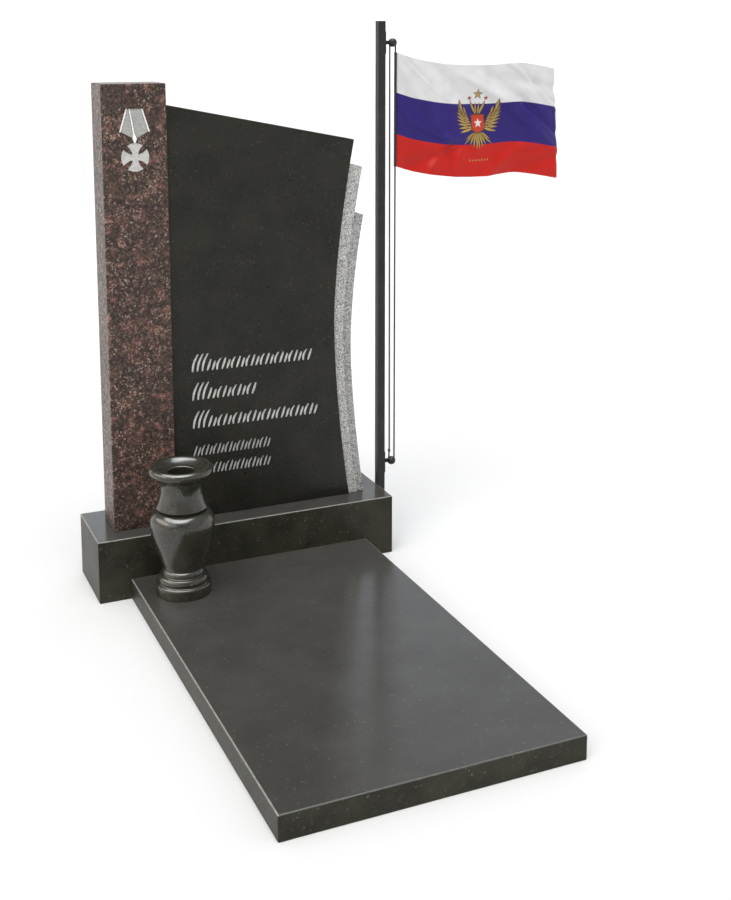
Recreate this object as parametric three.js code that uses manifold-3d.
// Granite war memorial. A plinth carries a red column, a dark stele and two light side strips.
// A grave slab with a flower vase lies in front of it, and a small flagpole stands at its side.
// Millimetres, +Z up. The origin is the middle of the plinth's underside, and the front faces -Y.

import * as THREE from 'three';
import { mergeVertices } from 'three/addons/utils/BufferGeometryUtils.js';
import Module from 'manifold-3d';

const wasm = await Module();
wasm.setup();

// Joints and edges
const JOINT = 0.3; // gap between two pieces that touch
const CHAMFER = 2; // on the edges of every stone
const EDGE_STEPS = 22; // straight steps in a concave edge

// Column
const COLUMN_WIDTH = 150;
const COLUMN_DEPTH = 100;
const COLUMN_HEIGHT = 1050;

// Stele. Its width at the foot takes in the joint at its left.
const STELE_FOOT_WIDTH = 456;
const STELE_DEPTH = 80;
const STELE_LEFT_HEIGHT = 1000;
const STELE_RIGHT_HEIGHT = 905;
const WAIST_INSET = 38.5; // how far the concave edge draws in from the foot
const WAIST_HEIGHT = 455;
const HEAD_FLARE = 54.5; // how far the edge swings out again from the waist to the head
const STELE_SWEEP = { below: 1.8, above: 1.6 }; // how sharply the edge curves below and above the waist

// Side strips, from the stele outwards. A strip's widths take in the joint at its left.
const INNER_STRIP = {
  name: 'side_strip_inner',
  depth: 70,
  height: 837,
  footWidth: 24,
  waistWidth: 26,
  waistHeight: 420,
  headWidth: 36,
  sweep: { below: 1.75, above: 1.6 },
};
const OUTER_STRIP = {
  name: 'side_strip_outer',
  depth: 60,
  height: 716,
  footWidth: 20,
  waistWidth: 21.5,
  waistHeight: 385,
  headWidth: 27,
  sweep: { below: 1.6, above: 1.8 },
};

// Plinth, which stands proud of the stones on it
const PLINTH_HEIGHT = 150;
const PLINTH_SHOULDER = 50;
const PLINTH_LEDGE = 50;

// Grave slab
const SLAB_WIDTH = 600;
const SLAB_LENGTH = 1000;
const SLAB_THICKNESS = 50;

// Inscription, cut into the stele's face: three tall rows over two low ones, all of slanted strokes.
// A row's length is a share of the written width, and a foot is a height above the plinth.
const INSCRIPTION_DEPTH = 2;
const INSCRIPTION_MARGIN = 47;
const INSCRIPTION_SLANT = 0.34;
const TALL_ROWS = [
  { length: 0.95, strokes: 25 },
  { length: 0.5, strokes: 13 },
  { length: 1, strokes: 26 },
];
const TALL_ROW_FOOT = 364;
const TALL_ROW_PITCH = 70;
const TALL_STROKE_HEIGHT = 27;
const TALL_STROKE_WEIGHT = 5.2;
const OPENING_STROKES = 3; // strokes at the start of a tall row that stand higher than the rest
const OPENING_HEIGHT = 42;
const LOW_ROWS = [{ length: 0.61, strokes: 20 }, { length: 0.61, strokes: 20 }];
const LOW_ROW_FOOT = 155;
const LOW_ROW_PITCH = 47;
const LOW_STROKE_HEIGHT = 25;
const LOW_STROKE_WEIGHT = 3.6;

// Medal, cut into the column's face: a ribbon block over a cross with flared arms
const MEDAL_DROP = 57; // from the column's top to the ribbon's top
const MEDAL_DEPTH = 1.2;
const RIBBON_TOP_WIDTH = 39;
const RIBBON_WIDTH = 71;
const RIBBON_SIDE_HEIGHT = 52;
const RIBBON_HEIGHT = 68;
const RIBBON_STRIPE = 3;
const CROSS_RADIUS = 32.5;
const CROSS_DROP = 110; // from the ribbon's top to the cross's centre
const ARM_TIP_WIDTH = 36;
const ARM_ROOT_WIDTH = 13;

// Vase
const VASE_HEIGHT = 300;
const VASE_BODY_DIAMETER = 148;
const VASE_FOOT_DIAMETER = 126;
const VASE_RIM_DIAMETER = 146;
const VASE_BORE_DIAMETER = 60;
const VASE_BORE_DEPTH = 200;
const VASE_SIDE_MARGIN = 32; // from the slab's left edge to the vase's foot
const VASE_BACK_MARGIN = 49; // from the slab's back edge to the vase's foot
const VASE_SIDES = 28;
const VASE_CURVE_STEPS = 4;

// Flagpole, a square tube closed at its top
const POLE_SIZE = 20;
const POLE_WALL = 2;
const POLE_HEIGHT = 1342;

// Rope brackets: a plate, an arm and a round knob with a groove for the rope
const UPPER_BRACKET_DROP = 53; // from the pole's top to the knob's centre
const LOWER_BRACKET_RISE = 57; // from the plinth's top to the knob's centre
const PLATE_HEIGHT = 55;
const PLATE_WIDTH = 16;
const PLATE_THICKNESS = 2;
const ARM_REACH = 23; // from the pole's side to the knob's centre
const ARM_HEIGHT = 9.5;
const ARM_DEPTH = 6;
const KNOB_DIAMETER = 22;
const KNOB_SIDES = 24;

// Halyard, one rope round both knobs, tied in a knot near the lower one
const ROPE_DIAMETER = 4;
const STRAND_SPACING = 15.6;
const KNOT_RISE = 28; // from the lower knob's centre to the knot
const KNOT_SIZE = 9;
const KNOT_PULL = 1.8; // how far the knot draws its strand towards the other
const ROPE_SIDES = 8;
const ROPE_BEND_STEPS = 10;

// Flag, sewn round one strand of the halyard with a narrow sleeve
const FLAG_DROP = 24; // from the upper knob's centre to the flag's top corner
const FLAG_HOIST = 286;
const FLAG_REACH = 446; // how far the hung flag reaches from the rope
const FLAG_THICKNESS = 2;
const FLAG_TURN = THREE.MathUtils.degToRad(5);
const FLAG_WAVE = 13; // how far its waves swing to each side
const FLAG_WAVES = 1.7;
const FLAG_WAVE_LEAN = 0.45;
const FLAG_SAG = [[0, 0], [0.13, 17], [0.32, 30], [0.55, 33], [0.77, 28], [1, 44]];
const FLAG_COLUMNS = 26;
const FLAG_ROWS = 8;
const SLEEVE_WALL = 1.2;
const SLEEVE_SIDES = 12;

// Places worked out from the sizes above
const stonesWidth = COLUMN_WIDTH + STELE_FOOT_WIDTH + INNER_STRIP.footWidth + OUTER_STRIP.footWidth;
const columnLeft = -stonesWidth / 2;
const steleLeft = columnLeft + COLUMN_WIDTH;
const plinthWidth = stonesWidth + 2 * PLINTH_SHOULDER;
const plinthDepth = COLUMN_DEPTH + 2 * PLINTH_LEDGE;
const standingLevel = PLINTH_HEIGHT + JOINT;
const slabBack = -plinthDepth / 2 - JOINT;
const vaseX = -SLAB_WIDTH / 2 + VASE_SIDE_MARGIN + VASE_FOOT_DIAMETER / 2;
const vaseY = slabBack - VASE_BACK_MARGIN - VASE_FOOT_DIAMETER / 2;
const poleLeft = plinthWidth / 2 + JOINT;
const poleRight = poleLeft + POLE_SIZE;
const knobX = poleRight + ARM_REACH;
const upperKnobZ = POLE_HEIGHT - UPPER_BRACKET_DROP;
const lowerKnobZ = PLINTH_HEIGHT + LOWER_BRACKET_RISE;
const ropeRadius = ROPE_DIAMETER / 2;
const loopRadius = STRAND_SPACING / 2;

// Materials
function finish(colour, roughness, metalness = 0) {
  return new THREE.MeshStandardMaterial({ color: colour, roughness, metalness });
}

const darkGranite = finish(0x2e2e2c, 0.25);
const redGranite = finish(0x5e433d, 0.3);
const lightGranite = finish(0xa9a7a3, 0.8);
const polePaint = finish(0x3a3a38, 0.45, 0.2);
const ropeFibre = finish(0x262625, 0.8);
const flagCloth = finish(0xe6e6ea, 0.5);

// Solids and meshes
function closed(geometry) {
  geometry.deleteAttribute('normal');
  geometry.deleteAttribute('uv');
  return mergeVertices(geometry, 1e-3);
}

function toSolid(geometry) {
  const whole = closed(geometry);
  return new wasm.Manifold(new wasm.Mesh({
    numProp: 3,
    vertProperties: new Float32Array(whole.attributes.position.array),
    triVerts: new Uint32Array(whole.index.array),
  }));
}

function toGeometry(solid) {
  const mesh = solid.getMesh();
  const geometry = new THREE.BufferGeometry();
  geometry.setAttribute('position', new THREE.BufferAttribute(mesh.vertProperties, 3));
  geometry.setIndex(new THREE.BufferAttribute(mesh.triVerts, 1));
  return geometry;
}

const memorial = new THREE.Group();

function addPiece(name, geometry, material) {
  const whole = geometry.index ? geometry : closed(geometry);
  whole.computeVertexNormals();
  const mesh = new THREE.Mesh(whole, material);
  mesh.name = name;
  memorial.add(mesh);
  return mesh;
}

function outlineOf(points) {
  return new THREE.Shape(points.map(([x, z]) => new THREE.Vector2(x, z)));
}

// Turns an outline drawn in X and Z into a stone between two depths, with its edges chamfered.
function standingStone(outline, front, back, chamfer) {
  const geometry = new THREE.ExtrudeGeometry(outline, {
    depth: back - front - 2 * chamfer,
    steps: 1,
    bevelEnabled: chamfer > 0,
    bevelThickness: chamfer,
    bevelSize: chamfer,
    bevelOffset: -chamfer,
    bevelSegments: 1,
  });
  geometry.rotateX(Math.PI / 2);
  geometry.translate(0, back - chamfer, 0);
  return geometry;
}

function blockOutline(left, right, bottom, top, cut) {
  return outlineOf([
    [left + cut, bottom],
    [right - cut, bottom],
    [right, bottom + cut],
    [right, top - cut],
    [right - cut, top],
    [left + cut, top],
    [left, top - cut],
    [left, bottom + cut],
  ]);
}

// Plinth and slab
function addPlinth() {
  const outline = blockOutline(-plinthWidth / 2, plinthWidth / 2, 0, PLINTH_HEIGHT, CHAMFER);
  addPiece('plinth', standingStone(outline, -plinthDepth / 2, plinthDepth / 2, CHAMFER), darkGranite);
}

function addSlab() {
  const outline = blockOutline(-SLAB_WIDTH / 2, SLAB_WIDTH / 2, 0, SLAB_THICKNESS, CHAMFER);
  addPiece('grave_slab', standingStone(outline, slabBack - SLAB_LENGTH, slabBack, CHAMFER), darkGranite);
}

// Engraving: each outline is cut into a front face to its own depth.
function engrave(solid, front, outlines, depth) {
  let cut = solid;
  for (const outline of outlines) {
    cut = cut.subtract(toSolid(standingStone(outline, front - depth, front + depth, 0)));
  }
  return cut;
}

// Medal on the column. Its outlines are drawn about the middle of the ribbon's top.
function ribbonOutlines() {
  const top = RIBBON_TOP_WIDTH / 2;
  const side = RIBBON_WIDTH / 2;
  const stripe = RIBBON_STRIPE;
  const gap = stripe / 2;
  const foldTop = -top * 0.55;
  const leftPanel = [
    [-top + stripe + gap, 0],
    [foldTop - stripe, 0],
    [-stripe, -RIBBON_HEIGHT + 3 * stripe],
    [-stripe, -RIBBON_HEIGHT + stripe],
    [-side + stripe + gap, -RIBBON_SIDE_HEIGHT],
  ];
  const rightPanel = [
    [foldTop + stripe, 0],
    [top - stripe - gap, 0],
    [side - stripe - gap, -RIBBON_SIDE_HEIGHT],
    [stripe, -RIBBON_HEIGHT + stripe],
  ];
  const leftStripe = [[-top, 0], [-top + stripe, 0], [-side + stripe, -RIBBON_SIDE_HEIGHT], [-side, -RIBBON_SIDE_HEIGHT]];
  const rightStripe = leftStripe.map(([x, z]) => [-x, z]).reverse();
  const fold = [[foldTop - gap, 0], [foldTop + gap, 0], [gap, -RIBBON_HEIGHT + stripe], [-gap, -RIBBON_HEIGHT + stripe]];
  return { panels: [leftPanel, rightPanel], lines: [leftStripe, rightStripe, fold] };
}

function crossOutline() {
  const root = ARM_ROOT_WIDTH / 2;
  const tip = ARM_TIP_WIDTH / 2;
  const shoulder = Math.sqrt(CROSS_RADIUS ** 2 - tip ** 2);
  const halfWay = (root + shoulder) / 2;
  const arm = [
    [root, root],
    [halfWay, root + (tip - root) * 0.28],
    [shoulder, tip],
    [CROSS_RADIUS, 0],
    [shoulder, -tip],
    [halfWay, -root - (tip - root) * 0.28],
  ];
  const points = [];
  for (let turn = 0; turn < 4; turn++) {
    const angle = -turn * Math.PI / 2;
    for (const [x, z] of arm) {
      points.push([
        x * Math.cos(angle) - z * Math.sin(angle),
        x * Math.sin(angle) + z * Math.cos(angle) - CROSS_DROP,
      ]);
    }
  }
  return points;
}

function ringOutline() {
  const top = -RIBBON_HEIGHT - RIBBON_STRIPE / 2;
  const bottom = -CROSS_DROP + CROSS_RADIUS + RIBBON_STRIPE / 2;
  const middle = (top + bottom) / 2;
  return [[0, top], [RIBBON_STRIPE, middle], [0, bottom], [-RIBBON_STRIPE, middle]];
}

function addColumn() {
  const front = -COLUMN_DEPTH / 2;
  const top = standingLevel + COLUMN_HEIGHT;
  const outline = blockOutline(columnLeft, steleLeft, standingLevel, top, CHAMFER);
  const place = (points) => outlineOf(points.map(([x, z]) => [
    columnLeft + COLUMN_WIDTH / 2 + x,
    top - MEDAL_DROP + z,
  ]));
  const ribbon = ribbonOutlines();
  let solid = toSolid(standingStone(outline, front, -front, CHAMFER));
  solid = engrave(solid, front, [...ribbon.panels, crossOutline()].map(place), MEDAL_DEPTH);
  solid = engrave(solid, front, [...ribbon.lines, ringOutline()].map(place), MEDAL_DEPTH * 1.5);
  addPiece('column', toGeometry(solid), redGranite);
}

// Concave right edge of the stele and of each strip: X at a height above the plinth.
function edgeAt(edge, height) {
  const below = height < edge.waistHeight;
  const end = below ? edge.foot : edge.head;
  const span = below ? edge.waistHeight : edge.headHeight - edge.waistHeight;
  const power = below ? edge.sweep.below : edge.sweep.above;
  return edge.waist + (end - edge.waist) * (Math.abs(height - edge.waistHeight) / span) ** power;
}

function edgePoints(edge, from, to, steps, shift = 0) {
  return Array.from({ length: steps + 1 }, (_, k) => {
    const height = from + (to - from) * k / steps;
    return [edgeAt(edge, height) + shift, standingLevel + height];
  });
}

const steleEdge = {
  foot: steleLeft + STELE_FOOT_WIDTH,
  waist: steleLeft + STELE_FOOT_WIDTH - WAIST_INSET,
  waistHeight: WAIST_HEIGHT,
  head: steleLeft + STELE_FOOT_WIDTH - WAIST_INSET + HEAD_FLARE,
  headHeight: STELE_RIGHT_HEIGHT,
  sweep: STELE_SWEEP,
};

// Stele
function strokeOutline(x, foot, height, weight, bow) {
  const steps = bow ? 3 : 2;
  const left = [];
  const right = [];
  for (let k = 0; k <= steps; k++) {
    const t = k / steps;
    const belly = Math.sin(Math.PI * t);
    const half = weight / 2 * (0.45 + 0.55 * belly);
    const middle = x + INSCRIPTION_SLANT * height * t - bow * belly;
    left.push([middle - half, foot + height * t]);
    right.unshift([middle + half, foot + height * t]);
  }
  return outlineOf([...left.reverse(), ...right.reverse()]);
}

function rowOutlines(row, foot, height, weight, openingStrokes) {
  const start = steleLeft + INSCRIPTION_MARGIN;
  const written = steleEdge.waist - steleLeft - 2 * INSCRIPTION_MARGIN;
  const pitch = row.length * written / row.strokes;
  return Array.from({ length: row.strokes }, (_, k) => {
    const opening = k < openingStrokes;
    const tall = opening ? OPENING_HEIGHT : height * (k % 3 === 1 ? 0.82 : 1);
    const bow = (k % 3 === 2 || opening) ? weight * 0.6 : 0;
    return strokeOutline(start + pitch * (k + 0.3), foot, tall, weight, bow);
  });
}

function inscriptionOutlines() {
  const tallFoot = standingLevel + TALL_ROW_FOOT;
  const lowFoot = standingLevel + LOW_ROW_FOOT;
  return [
    ...TALL_ROWS.flatMap((row, k) => rowOutlines(
      row, tallFoot - k * TALL_ROW_PITCH, TALL_STROKE_HEIGHT, TALL_STROKE_WEIGHT, OPENING_STROKES)),
    ...LOW_ROWS.flatMap((row, k) => rowOutlines(
      row, lowFoot - k * LOW_ROW_PITCH, LOW_STROKE_HEIGHT, LOW_STROKE_WEIGHT, 0)),
  ];
}

function addStele() {
  const left = steleLeft + JOINT;
  const outline = outlineOf([
    [left, standingLevel],
    ...edgePoints(steleEdge, 0, STELE_RIGHT_HEIGHT, EDGE_STEPS),
    [left, standingLevel + STELE_LEFT_HEIGHT],
  ]);
  const front = -STELE_DEPTH / 2;
  const blank = toSolid(standingStone(outline, front, -front, CHAMFER));
  const solid = engrave(blank, front, inscriptionOutlines(), INSCRIPTION_DEPTH);
  addPiece('stele', toGeometry(solid), darkGranite);
}

// Side strips. Each one starts at the edge of the stone before it, and its top slants as the stele's does.
function addStrip(strip, inner) {
  const head = edgeAt(inner, strip.height) + strip.headWidth;
  const edge = {
    foot: inner.foot + strip.footWidth,
    waist: edgeAt(inner, strip.waistHeight) + strip.waistWidth,
    waistHeight: strip.waistHeight,
    head,
    headHeight: strip.height,
    sweep: strip.sweep,
  };
  const slope = (STELE_LEFT_HEIGHT - STELE_RIGHT_HEIGHT) / (steleEdge.head - steleLeft);
  const innerHeight = strip.height + slope * strip.headWidth;
  const outline = outlineOf([
    ...edgePoints(edge, 0, strip.height, EDGE_STEPS),
    ...edgePoints(inner, innerHeight, 0, EDGE_STEPS, JOINT),
  ]);
  const half = strip.depth / 2;
  addPiece(strip.name, standingStone(outline, -half, half, CHAMFER / 2), lightGranite);
  return edge;
}

// Vase: its outside from the foot to the rim, then the dished top and the bore
function vaseProfile() {
  const body = VASE_BODY_DIAMETER / 2;
  const foot = VASE_FOOT_DIAMETER / 2;
  const rim = VASE_RIM_DIAMETER / 2;
  const bore = VASE_BORE_DIAMETER / 2;
  const h = (share) => share * VASE_HEIGHT;
  const path = new THREE.Path();
  path.moveTo(0, 0);
  path.lineTo(foot - 1.5, 0);
  path.lineTo(foot, 1.5);
  path.lineTo(foot, h(0.067));
  path.quadraticCurveTo(foot, h(0.083), 0.93 * foot, h(0.087));
  path.lineTo(0.9 * foot, h(0.095));
  path.quadraticCurveTo(0.95 * foot, h(0.125), 0.84 * foot, h(0.148));
  path.lineTo(0.76 * foot, h(0.155));
  path.quadraticCurveTo(0.8 * foot, h(0.18), 0.7 * foot, h(0.197));
  path.bezierCurveTo(0.64 * body, h(0.27), body, h(0.42), body, h(0.545));
  path.bezierCurveTo(body, h(0.61), 0.88 * body, h(0.64), 0.72 * body, h(0.66));
  path.lineTo(0.72 * body, h(0.667));
  path.lineTo(0.79 * body, h(0.678));
  path.bezierCurveTo(0.73 * body, h(0.72), 0.63 * body, h(0.77), 0.65 * body, h(0.83));
  path.quadraticCurveTo(0.67 * body, h(0.9), 0.9 * rim, h(0.93));
  path.bezierCurveTo(rim * 1.03, h(0.945), rim * 1.03, h(0.985), 0.9 * rim, h(0.997));
  path.quadraticCurveTo(0.8 * rim, h(1.005), 0.72 * rim, h(0.985));
  path.lineTo(bore + 3, h(0.955));
  path.lineTo(bore, h(0.945));
  path.lineTo(bore, VASE_HEIGHT - VASE_BORE_DEPTH);
  path.lineTo(0, VASE_HEIGHT - VASE_BORE_DEPTH);
  return path.getPoints(VASE_CURVE_STEPS);
}

function addVase() {
  const geometry = new THREE.LatheGeometry(vaseProfile(), VASE_SIDES);
  geometry.rotateX(Math.PI / 2);
  geometry.translate(vaseX, vaseY, SLAB_THICKNESS + JOINT);
  addPiece('vase', geometry, darkGranite);
}

// Flagpole
function box(left, right, front, back, bottom, top) {
  const geometry = new THREE.BoxGeometry(right - left, back - front, top - bottom);
  geometry.translate((left + right) / 2, (front + back) / 2, (bottom + top) / 2);
  return geometry;
}

function addPole() {
  const half = POLE_SIZE / 2;
  const outer = toSolid(box(poleLeft, poleRight, -half, half, 0, POLE_HEIGHT));
  const inner = half - POLE_WALL;
  const hollow = toSolid(box(
    poleLeft + POLE_WALL,
    poleRight - POLE_WALL,
    -inner,
    inner,
    -POLE_WALL,
    POLE_HEIGHT - POLE_WALL,
  ));
  addPiece('flagpole', toGeometry(outer.subtract(hollow)), polePaint);
}

// Rope brackets. The arm runs behind the rope, and the knob's groove clears the rope all round.
function knobProfile() {
  const radius = KNOB_DIAMETER / 2;
  const halfGroove = ropeRadius + JOINT;
  const grooveFloor = loopRadius - ropeRadius - JOINT;
  const lip = Math.asin(halfGroove / radius);
  const points = [];
  const steps = 6;
  for (let k = 0; k <= steps; k++) {
    const angle = -Math.PI / 2 + (Math.PI / 2 - lip) * k / steps;
    points.push(new THREE.Vector2(radius * Math.cos(angle), radius * Math.sin(angle)));
  }
  points[0].x = 0;
  points.push(new THREE.Vector2(grooveFloor, -halfGroove));
  return [...points, ...points.map((p) => new THREE.Vector2(p.x, -p.y)).reverse()];
}

function addBracket(name, height) {
  const knob = new THREE.LatheGeometry(knobProfile(), KNOB_SIDES);
  knob.translate(knobX, 0, height);
  const plateLeft = poleRight + JOINT;
  const plate = box(
    plateLeft,
    plateLeft + PLATE_THICKNESS,
    -PLATE_WIDTH / 2,
    PLATE_WIDTH / 2,
    height - PLATE_HEIGHT / 2,
    height + PLATE_HEIGHT / 2,
  );
  const armFront = ropeRadius + JOINT;
  const arm = box(
    plateLeft + PLATE_THICKNESS / 2,
    knobX,
    armFront,
    Math.min(armFront + ARM_DEPTH, PLATE_WIDTH / 2),
    height - ARM_HEIGHT / 2,
    height + ARM_HEIGHT / 2,
  );
  const solid = toSolid(plate).add(toSolid(arm)).add(toSolid(knob));
  addPiece(name, toGeometry(solid), polePaint);
}

// Halyard. Its route lies in the plane Y = 0, and a swept tube follows it.
function ropeRoute() {
  const left = knobX - loopRadius;
  const knotX = left + KNOT_PULL;
  const knotZ = lowerKnobZ + KNOT_RISE;
  const end = 0.5;
  const bend = (centreZ, from) => Array.from({ length: ROPE_BEND_STEPS + 1 }, (_, k) => {
    const angle = from - Math.PI * k / ROPE_BEND_STEPS;
    return [knobX + loopRadius * Math.cos(angle), centreZ + loopRadius * Math.sin(angle)];
  });
  return [
    [knotX, knotZ + end],
    ...bend(upperKnobZ, Math.PI),
    ...bend(lowerKnobZ, 0),
    [knotX, knotZ - end],
  ];
}

function sweepTube(route, radius, sides) {
  const positions = [];
  const index = [];
  route.forEach(([x, z], k) => {
    const before = route[Math.max(k - 1, 0)];
    const after = route[Math.min(k + 1, route.length - 1)];
    const slope = Math.atan2(after[1] - before[1], after[0] - before[0]);
    for (let s = 0; s < sides; s++) {
      const angle = 2 * Math.PI * (s + 0.5) / sides;
      const across = radius * Math.cos(angle);
      positions.push(x - across * Math.sin(slope), radius * Math.sin(angle), z + across * Math.cos(slope));
    }
  });
  for (let k = 0; k < route.length - 1; k++) {
    for (let s = 0; s < sides; s++) {
      const a = k * sides + s;
      const b = k * sides + (s + 1) % sides;
      index.push(a, a + sides, b, b, a + sides, b + sides);
    }
  }
  const last = (route.length - 1) * sides;
  for (let s = 1; s < sides - 1; s++) {
    index.push(0, s, s + 1, last, last + s + 1, last + s);
  }
  const geometry = new THREE.BufferGeometry();
  geometry.setAttribute('position', new THREE.Float32BufferAttribute(positions, 3));
  geometry.setIndex(index);
  return geometry;
}

function addHalyard() {
  const route = ropeRoute();
  const knot = new THREE.IcosahedronGeometry(KNOT_SIZE / 2, 1);
  knot.scale(0.8, 0.8, 1.2);
  knot.translate(route[0][0], 0, lowerKnobZ + KNOT_RISE);
  const solid = toSolid(sweepTube(route, ropeRadius, ROPE_SIDES)).add(toSolid(knot));
  addPiece('halyard', toGeometry(solid), ropeFibre);
}

// Flag. One formula gives a point of the cloth at a share along it and a share down it.
const sagCurve = new THREE.SplineCurve(FLAG_SAG.map(([u, drop]) => new THREE.Vector2(u, drop)));
const sagTable = sagCurve.getPoints(120);

function sagAt(u) {
  const k = sagTable.findIndex((p) => p.x >= u);
  const after = sagTable[Math.max(k, 1)];
  const before = sagTable[Math.max(k, 1) - 1];
  return before.y + (after.y - before.y) * (u - before.x) / (after.x - before.x);
}

function flagPoint(u, v, side) {
  const hoistX = knobX + loopRadius + ropeRadius + JOINT + SLEEVE_WALL / 2;
  const run = u * FLAG_REACH;
  const growth = u * (2 - u);
  const wave = -FLAG_WAVE * growth * Math.sin(2 * Math.PI * (FLAG_WAVES * u - FLAG_WAVE_LEAN * v));
  const across = wave + side * FLAG_THICKNESS / 2;
  return [
    hoistX + run * Math.cos(FLAG_TURN) + across * Math.sin(FLAG_TURN),
    -run * Math.sin(FLAG_TURN) + across * Math.cos(FLAG_TURN),
    upperKnobZ - FLAG_DROP - sagAt(u) - v * FLAG_HOIST,
  ];
}

function clothSolid() {
  const positions = [];
  const index = [];
  const across = FLAG_COLUMNS + 1;
  const layer = across * (FLAG_ROWS + 1);
  for (const side of [-1, 1]) {
    for (let j = 0; j <= FLAG_ROWS; j++) {
      for (let i = 0; i <= FLAG_COLUMNS; i++) {
        positions.push(...flagPoint(i / FLAG_COLUMNS, j / FLAG_ROWS, side));
      }
    }
  }
  const quad = (a, b, c, d) => index.push(a, b, c, a, c, d);
  for (let j = 0; j < FLAG_ROWS; j++) {
    for (let i = 0; i < FLAG_COLUMNS; i++) {
      const a = j * across + i;
      quad(a, a + across, a + across + 1, a + 1);
      quad(layer + a, layer + a + 1, layer + a + across + 1, layer + a + across);
    }
  }
  const bottom = FLAG_ROWS * across;
  for (let i = 0; i < FLAG_COLUMNS; i++) {
    quad(i, i + 1, layer + i + 1, layer + i);
    quad(bottom + i, layer + bottom + i, layer + bottom + i + 1, bottom + i + 1);
  }
  for (let j = 0; j < FLAG_ROWS; j++) {
    const a = j * across;
    const b = a + FLAG_COLUMNS;
    quad(a, layer + a, layer + a + across, a + across);
    quad(b, b + across, layer + b + across, layer + b);
  }
  const geometry = new THREE.BufferGeometry();
  geometry.setAttribute('position', new THREE.Float32BufferAttribute(positions, 3));
  geometry.setIndex(index);
  return geometry;
}

function sleeveSolid() {
  const ring = new THREE.Shape();
  const bore = new THREE.Path();
  for (let s = 0; s < SLEEVE_SIDES; s++) {
    const angle = 2 * Math.PI * (s + 0.5) / SLEEVE_SIDES;
    const outer = ropeRadius + JOINT + SLEEVE_WALL;
    const inner = ropeRadius + JOINT;
    ring[s ? 'lineTo' : 'moveTo'](outer * Math.cos(angle), outer * Math.sin(angle));
    bore[s ? 'lineTo' : 'moveTo'](inner * Math.cos(angle), inner * Math.sin(angle));
  }
  ring.holes.push(bore);
  const geometry = new THREE.ExtrudeGeometry(ring, { depth: FLAG_HOIST, bevelEnabled: false });
  geometry.translate(knobX + loopRadius, 0, upperKnobZ - FLAG_DROP - FLAG_HOIST);
  return geometry;
}

function addFlag() {
  const solid = toSolid(clothSolid()).add(toSolid(sleeveSolid()));
  addPiece('flag', toGeometry(solid), flagCloth);
}

addPlinth();
addSlab();
addColumn();
addStele();
addStrip(OUTER_STRIP, addStrip(INNER_STRIP, steleEdge));
addVase();
addPole();
addBracket('upper_bracket', upperKnobZ);
addBracket('lower_bracket', lowerKnobZ);
addHalyard();
addFlag();

export default memorial;
